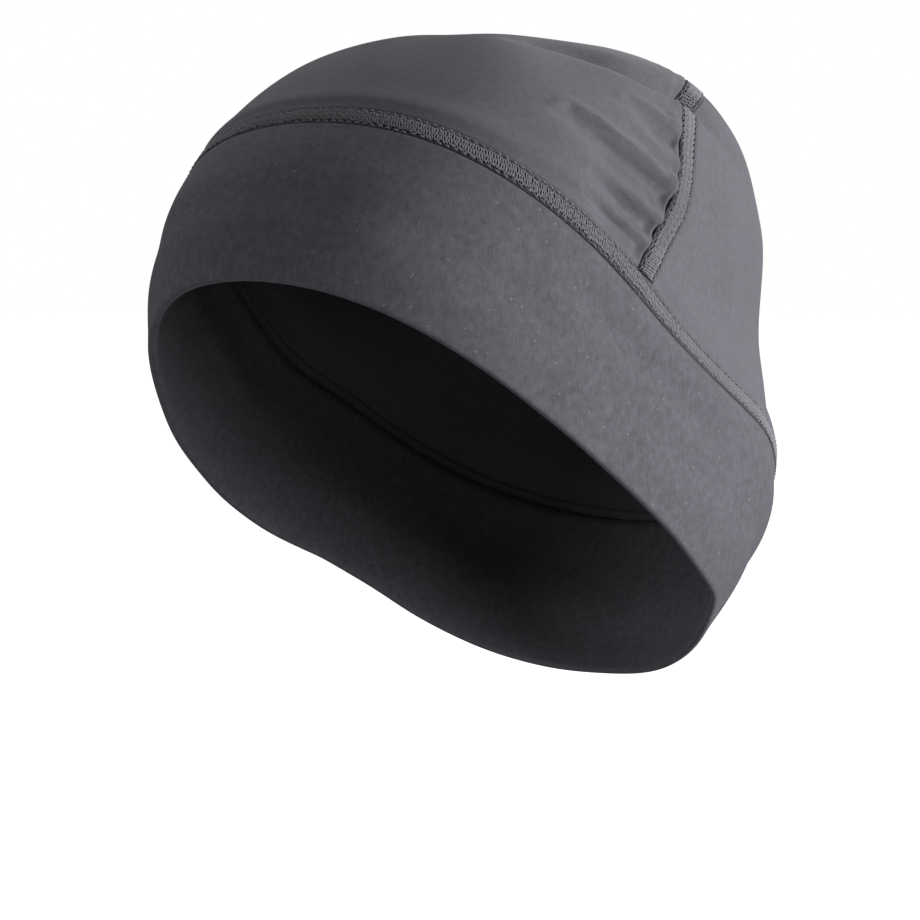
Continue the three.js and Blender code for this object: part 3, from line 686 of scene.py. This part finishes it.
def threadPaths(line, seed):
    # cover threads that zigzag across the tape, a share of a stitch apart, highest along its middle
    centre, across, along, width = line
    rng = np.random.default_rng(seed)
    stitches = int(along[-1] / threadCut["pitch"])
    places = np.linspace(along[0], along[-1], stitches * threadCut["stepsPerStitch"] + 1)
    steps = np.stack([np.interp(places, along, centre[:, k]) for k in range(3)], -1)
    sides = np.stack([np.interp(places, along, across[:, k]) for k in range(3)], -1)
    steps, sides, widths = unit(steps), unit(sides), np.interp(places, along, width)
    paths, normals = [], []
    for shift in threadCut["strands"]:
        phase = (places - along[0]) / threadCut["pitch"] + shift
        swing = np.arcsin(np.sin(2 * np.pi * phase) * threadCut["turnSharpness"]) / (np.pi / 2)
        knots = np.arange(stitches + 2)
        wander = np.interp(phase, knots, rng.normal(0, threadCut["wander"], stitches + 2))
        side = swing * threadCut["looperReach"] * widths + wander
        low = threadCut["looperLow"]
        arch = low + (1 - low) * np.cos(swing * np.pi / 2)
        rise = (capSizes["gap"] + capSizes["stripHeight"] + threadCut["looperRise"] * arch
                - threadCut["looperSink"])
        d = offsetDirection(steps, sides, side[:, None])[:, 0]
        paths.append(place(clothPoint(d, 0, rise)))
        normals.append(formNormal(d))
    return np.stack(paths), np.stack(normals), steps, sides, places, widths, stitches


def threadPieces(name, line, seed):
    # cover threads, and rows of short arched needle stitches along the tape
    paths, normals, steps, sides, places, widths, stitches = threadPaths(line, seed)
    rng = np.random.default_rng(seed + 1)
    looper = tubes(name + "CoverThreads", paths, threadCut["radius"], turned(normals))
    dashes, dashNormals, count = [], [], threadCut["needleSteps"]
    dash = np.linspace(threadCut["needleStart"], threadCut["needleEnd"], count)
    arch = np.tile(np.sin(np.linspace(0, np.pi, count)), stitches)
    rise = (capSizes["gap"] + capSizes["stripHeight"] * threadCut["needleHeight"]
            + threadCut["needleRise"] * (arch * threadCut["needleArch"] - threadCut["needleSink"]))
    for share in threadCut["needleShares"]:
        slips = rng.normal(0, threadCut["needleSlip"], (stitches, 1))
        where = (places[0] + (np.arange(stitches)[:, None] + dash[None] + slips) * threadCut["pitch"]).ravel()
        c = unit(np.stack([np.interp(where, places, steps[:, k]) for k in range(3)], -1))
        a = unit(np.stack([np.interp(where, places, sides[:, k]) for k in range(3)], -1))
        wander = np.repeat(rng.normal(0, threadCut["needleWander"], stitches), count)
        side = share * np.interp(where, places, widths) + wander
        d = offsetDirection(c, a, side[:, None])[:, 0]
        dashes.append(place(clothPoint(d, 0, rise)).reshape(stitches, count, 3))
        dashNormals.append(formNormal(d).reshape(stitches, count, 3))
    needles = tubes(name + "NeedleThreads", np.concatenate(dashes), threadCut["radius"],
                    turned(np.concatenate(dashNormals)))
    for piece in (looper, needles):
        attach(piece, "root")
    return looper, needles


# Materials

napCut = {"cloudScale": 60.0, "cloudShare": 0.18, "streakScale": (2400.0, 330.0, 1.0), "fleckScale": 520.0,
          "fleckReach": 0.16, "fleckPickScale": 900.0, "fleckPick": 0.66, "grainShare": 0.35,
          "mottleHeight": 0.6, "streakHeight": 0.4, "grainHeight": 0.5, "sheenRoughness": 0.45}


def brushedNap():
    # shared effect: mottled heather, brushed streaks along the cloth, pale flecks and a fine nap height
    group = bpy.data.node_groups.new("brushedNap", "ShaderNodeTree")
    face = group.interface
    for label in ("Place", "Cloth Map"):
        face.new_socket(name=label, in_out="INPUT", socket_type="NodeSocketVector")
    for label in ("Mottle Scale", "Mottle", "Streak", "Fleck", "Grain Scale"):
        face.new_socket(name=label, in_out="INPUT", socket_type="NodeSocketFloat")
    for label in ("Tone", "Flecks", "Height"):
        face.new_socket(name=label, in_out="OUTPUT", socket_type="NodeSocketFloat")
    nodes, links = group.nodes, group.links
    given, out = nodes.new("NodeGroupInput"), nodes.new("NodeGroupOutput")

    def noise(vector, scale, detail, rough):
        # noise texture's value at the vector, with its scale a number or a socket
        n = nodes.new("ShaderNodeTexNoise")
        n.inputs["Detail"].default_value, n.inputs["Roughness"].default_value = detail, rough
        links.new(vector, n.inputs["Vector"])
        if isinstance(scale, (int, float)):
            n.inputs["Scale"].default_value = scale
        else:
            links.new(scale, n.inputs["Scale"])
        return n.outputs["Fac"]

    def math(kind, a, b=None, c=None):
        # one math node, with each input a number or a socket
        n = nodes.new("ShaderNodeMath")
        n.operation = kind
        for k, value in enumerate((a, b, c)):
            if value is None:
                continue
            if isinstance(value, (int, float)):
                n.inputs[k].default_value = value
            else:
                links.new(value, n.inputs[k])
        return n.outputs[0]

    def scaled(vector, amounts):
        # the vector times three amounts
        n = nodes.new("ShaderNodeMapping")
        n.inputs["Scale"].default_value = amounts
        links.new(vector, n.inputs["Vector"])
        return n.outputs[0]

    mottle = noise(given.outputs["Place"], given.outputs["Mottle Scale"], 3.0, 0.6)
    cloud = noise(given.outputs["Place"], napCut["cloudScale"], 2.0, 0.5)
    streak = noise(scaled(given.outputs["Cloth Map"], napCut["streakScale"]), 1.0, 2.0, 0.55)
    grain = noise(given.outputs["Place"], given.outputs["Grain Scale"], 2.0, 0.6)
    voronoi = nodes.new("ShaderNodeTexVoronoi")
    voronoi.inputs["Scale"].default_value = napCut["fleckScale"]
    links.new(given.outputs["Place"], voronoi.inputs["Vector"])
    spot = math("LESS_THAN", voronoi.outputs["Distance"], napCut["fleckReach"])
    picks = noise(given.outputs["Place"], napCut["fleckPickScale"], 0.0, 0.5)
    chosen = math("GREATER_THAN", picks, napCut["fleckPick"])
    flecks = math("MULTIPLY", math("MULTIPLY", spot, chosen), given.outputs["Fleck"])
    centred = math("SUBTRACT", mottle, 0.5)
    tone = math("MULTIPLY_ADD", centred, given.outputs["Mottle"], 1.0)
    tone = math("MULTIPLY_ADD", math("SUBTRACT", streak, 0.5), given.outputs["Streak"], tone)
    tone = math("MULTIPLY_ADD", math("SUBTRACT", cloud, 0.5), napCut["cloudShare"], tone)
    tone = math("MULTIPLY_ADD", math("SUBTRACT", grain, 0.5), napCut["grainShare"], tone)
    coarse = math("MULTIPLY", mottle, napCut["mottleHeight"])
    coarse = math("ADD", coarse, math("MULTIPLY", streak, napCut["streakHeight"]))
    height = math("ADD", math("MULTIPLY", grain, napCut["grainHeight"]), coarse)
    links.new(tone, out.inputs["Tone"])
    links.new(flecks, out.inputs["Flecks"])
    links.new(height, out.inputs["Height"])
    return group


napGroup = brushedNap()


def clothMaterial(name, look):
    # brushed knit: base colour times the nap's tone, pale flecks, fine bumps and a soft sheen
    material = bpy.data.materials.new(name)
    material.use_nodes = True
    nodes, links = material.node_tree.nodes, material.node_tree.links
    shader = nodes["Principled BSDF"]
    coords = nodes.new("ShaderNodeTexCoord")
    nap = nodes.new("ShaderNodeGroup")
    nap.node_tree = napGroup
    links.new(coords.outputs["Object"], nap.inputs["Place"])
    links.new(coords.outputs["UV"], nap.inputs["Cloth Map"])
    for label in ("Mottle Scale", "Mottle", "Streak", "Fleck", "Grain Scale"):
        nap.inputs[label].default_value = look[label]
    tinted = nodes.new("ShaderNodeMix")
    tinted.data_type, tinted.blend_type = "RGBA", "MULTIPLY"
    tinted.inputs["Factor"].default_value = 1.0
    tinted.inputs["A"].default_value = (*look["colour"], 1)
    links.new(nap.outputs["Tone"], tinted.inputs["B"])
    flecked = nodes.new("ShaderNodeMix")
    flecked.data_type = "RGBA"
    links.new(nap.outputs["Flecks"], flecked.inputs["Factor"])
    links.new(tinted.outputs["Result"], flecked.inputs["A"])
    flecked.inputs["B"].default_value = (*look["fleckColour"], 1)
    links.new(flecked.outputs["Result"], shader.inputs["Base Color"])
    bump = nodes.new("ShaderNodeBump")
    bump.inputs["Strength"].default_value = look["bump"]
    bump.inputs["Distance"].default_value = look["bumpHeight"]
    links.new(nap.outputs["Height"], bump.inputs["Height"])
    links.new(bump.outputs["Normal"], shader.inputs["Normal"])
    shader.inputs["Roughness"].default_value = look["roughness"]
    shader.inputs["Specular IOR Level"].default_value = look["gloss"]
    shader.inputs["Sheen Weight"].default_value = look["sheen"]
    shader.inputs["Sheen Roughness"].default_value = napCut["sheenRoughness"]
    shader.inputs["Sheen Tint"].default_value = (*look["sheenColour"], 1)
    return material


bandLook = {"colour": (0.1255, 0.128, 0.144), "fleckColour": (0.28, 0.28, 0.285), "Mottle Scale": 430.0,
            "Mottle": 0.75, "Streak": 0.55, "Fleck": 0.8, "Grain Scale": 2600.0, "bump": 0.5,
            "bumpHeight": 0.00012, "roughness": 0.92, "gloss": 0.12, "sheen": 0.16,
            "sheenColour": (0.82, 0.83, 0.87)}
crownLook = {"colour": (0.143, 0.1445, 0.163), "fleckColour": (0.26, 0.26, 0.265), "Mottle Scale": 480.0,
             "Mottle": 0.42, "Streak": 0.34, "Fleck": 0.4, "Grain Scale": 3000.0, "bump": 0.35,
             "bumpHeight": 0.00009, "roughness": 0.85, "gloss": 0.16, "sheen": 0.18,
             "sheenColour": (0.82, 0.83, 0.87)}
tapeLook = {"colour": (0.090, 0.091, 0.102), "fleckColour": (0.2, 0.2, 0.2), "Mottle Scale": 900.0,
            "Mottle": 0.8, "Streak": 0.3, "Fleck": 0.2, "Grain Scale": 4000.0, "bump": 0.6,
            "bumpHeight": 0.00015, "roughness": 0.95, "gloss": 0.08, "sheen": 0.05,
            "sheenColour": (0.8, 0.8, 0.8)}
threadLook = {"colour": (0.235, 0.238, 0.258), "fleckColour": (0.3, 0.3, 0.3), "Mottle Scale": 1400.0,
              "Mottle": 0.5, "Streak": 0.0, "Fleck": 0.0, "Grain Scale": 6000.0, "bump": 0.4,
              "bumpHeight": 0.00005, "roughness": 0.8, "gloss": 0.25, "sheen": 0.1,
              "sheenColour": (0.85, 0.85, 0.88)}

bandCloth = clothMaterial("bandCloth", bandLook)
crownCloth = clothMaterial("crownCloth", crownLook)
tapeCloth = clothMaterial("tapeCloth", tapeLook)
threadYarn = clothMaterial("threadYarn", threadLook)
print("materials made")


# Pieces

def finishPiece(piece, material):
    # one material on the whole piece
    piece.data.materials.append(material)


crownFront = crownPanel("frontPanel", "crown_front", 1, -capSizes["seamTurn"], capSizes["seamTurn"],
                        crownCut["rows"], crownCut["columns"])
crownBack = crownPanel("backPanel", "crown_back", 2, capSizes["seamTurn"], 360 - capSizes["seamTurn"],
                       crownCut["backRows"], crownCut["backColumns"])
band = bandPiece("foldedBand", "band")
finishPiece(crownFront, crownCloth)
finishPiece(crownBack, crownCloth)
finishPiece(band, bandCloth)
print("cloth pieces made")

bandSeamWay, crownSeamWay = bandSeamLine(tapeCut["bandSteps"]), crownSeamLine(tapeCut["crownSteps"])
bandTape = tapePiece("bandSeamTape", "band_seam", bandSeamWay, True, tapeCut["bandRest"])
crownTape = tapePiece("crownSeamTape", "crown_seam", crownSeamWay, False, tapeCut["crownRest"])
for tape in (bandTape, crownTape):
    finishPiece(tape, tapeCloth)
bandThreads = threadPieces("bandSeam", bandSeamWay, seeds["bandThreads"])
crownThreads = threadPieces("crownSeam", crownSeamWay, seeds["crownThreads"])
for threads in bandThreads + crownThreads:
    finishPiece(threads, threadYarn)
print("tapes and threads made")


# Camera, light and floor

def aimed(obj, position, target, up=(0.0, 0.0, 1.0)):
    # the object's -Z looks at the target and its X stays level
    back = unit(np.array(position) - np.array(target))
    right = unit(np.cross(up, back))
    obj.matrix_world = Matrix([[right[k], np.cross(back, right)[k], back[k], position[k]] for k in range(3)]
                              + [[0, 0, 0, 1]])


def makeCamera():
    # level turn and lift from the view's numbers, then a roll about the line of sight
    turn, lift, roll = (np.radians(cameraView[key]) for key in ("turn", "lift", "roll"))
    back = np.array([np.sin(turn) * np.cos(lift), -np.cos(turn) * np.cos(lift), np.sin(lift)])
    right = np.array([np.cos(turn), np.sin(turn), 0.0])
    up = np.cross(back, right)
    right, up = right * np.cos(roll) + up * np.sin(roll), up * np.cos(roll) - right * np.sin(roll)
    camera = bpy.data.objects.new("camera", bpy.data.cameras.new("camera"))
    camera.data.sensor_width = cameraView["sensor"]
    camera.data.lens = cameraView["focalPixels"] / cameraView["framePixels"] * cameraView["sensor"]
    camera.data.dof.use_dof = False
    camera.matrix_world = Matrix([[right[k], up[k], back[k], cameraView["place"][k]] for k in range(3)]
                                 + [[0, 0, 0, 1]])
    bpy.context.collection.objects.link(camera)
    bpy.context.scene.camera = camera


def makeLights():
    # one square soft box for each entry of the studio's list, facing the target
    for name, box in studio["boxes"].items():
        light = bpy.data.lights.new(name, "AREA")
        light.shape = "SQUARE"
        light.size = studio["boxSize"]
        light.energy = box["watts"]
        obj = bpy.data.objects.new(name, light)
        bpy.context.collection.objects.link(obj)
        aimed(obj, box["place"], studio["target"])


def makeRoom():
    # white behind everything for the camera, a dim room for the cloth
    world = bpy.data.worlds.new("room")
    bpy.context.scene.world = world
    world.use_nodes = True
    nodes, links = world.node_tree.nodes, world.node_tree.links
    background = nodes["Background"]
    background.inputs["Color"].default_value = (1, 1, 1, 1)
    path = nodes.new("ShaderNodeLightPath")
    mix = nodes.new("ShaderNodeMix")
    mix.inputs["A"].default_value = studio["roomStrength"]
    mix.inputs["B"].default_value = 1.0
    links.new(path.outputs["Is Camera Ray"], mix.inputs["Factor"])
    links.new(mix.outputs["Result"], background.inputs["Strength"])


def makeFloor():
    # pale disc below the cap, bright enough to read as a white sweep
    radius, level = studio["floorRadius"], float(cadBox[0][2]) - studio["floorDrop"]
    sides, tone = studio["floorSides"], studio["floorTone"]
    turns = np.linspace(0, 2 * np.pi, sides, endpoint=False)
    ring = np.stack([radius * np.cos(turns), radius * np.sin(turns), np.full(sides, level)], -1)
    mesh = bpy.data.meshes.new("floor")
    mesh.from_pydata(ring.tolist(), [], [list(range(sides))])
    floor = bpy.data.objects.new("floor", mesh)
    bpy.context.collection.objects.link(floor)
    material = bpy.data.materials.new("paleFloor")
    material.use_nodes = True
    shader = material.node_tree.nodes["Principled BSDF"]
    shader.inputs["Base Color"].default_value = (tone, tone, tone, 1)
    shader.inputs["Roughness"].default_value = 1.0
    shader.inputs["Emission Color"].default_value = (1, 1, 1, 1)
    shader.inputs["Emission Strength"].default_value = 1.0
    mesh.materials.append(material)
    floor.visible_diffuse = False
    floor.visible_glossy = False


makeCamera()
makeLights()
makeRoom()
makeFloor()
bpy.context.scene.view_settings.view_transform = "Standard"
print("camera, light and floor made")
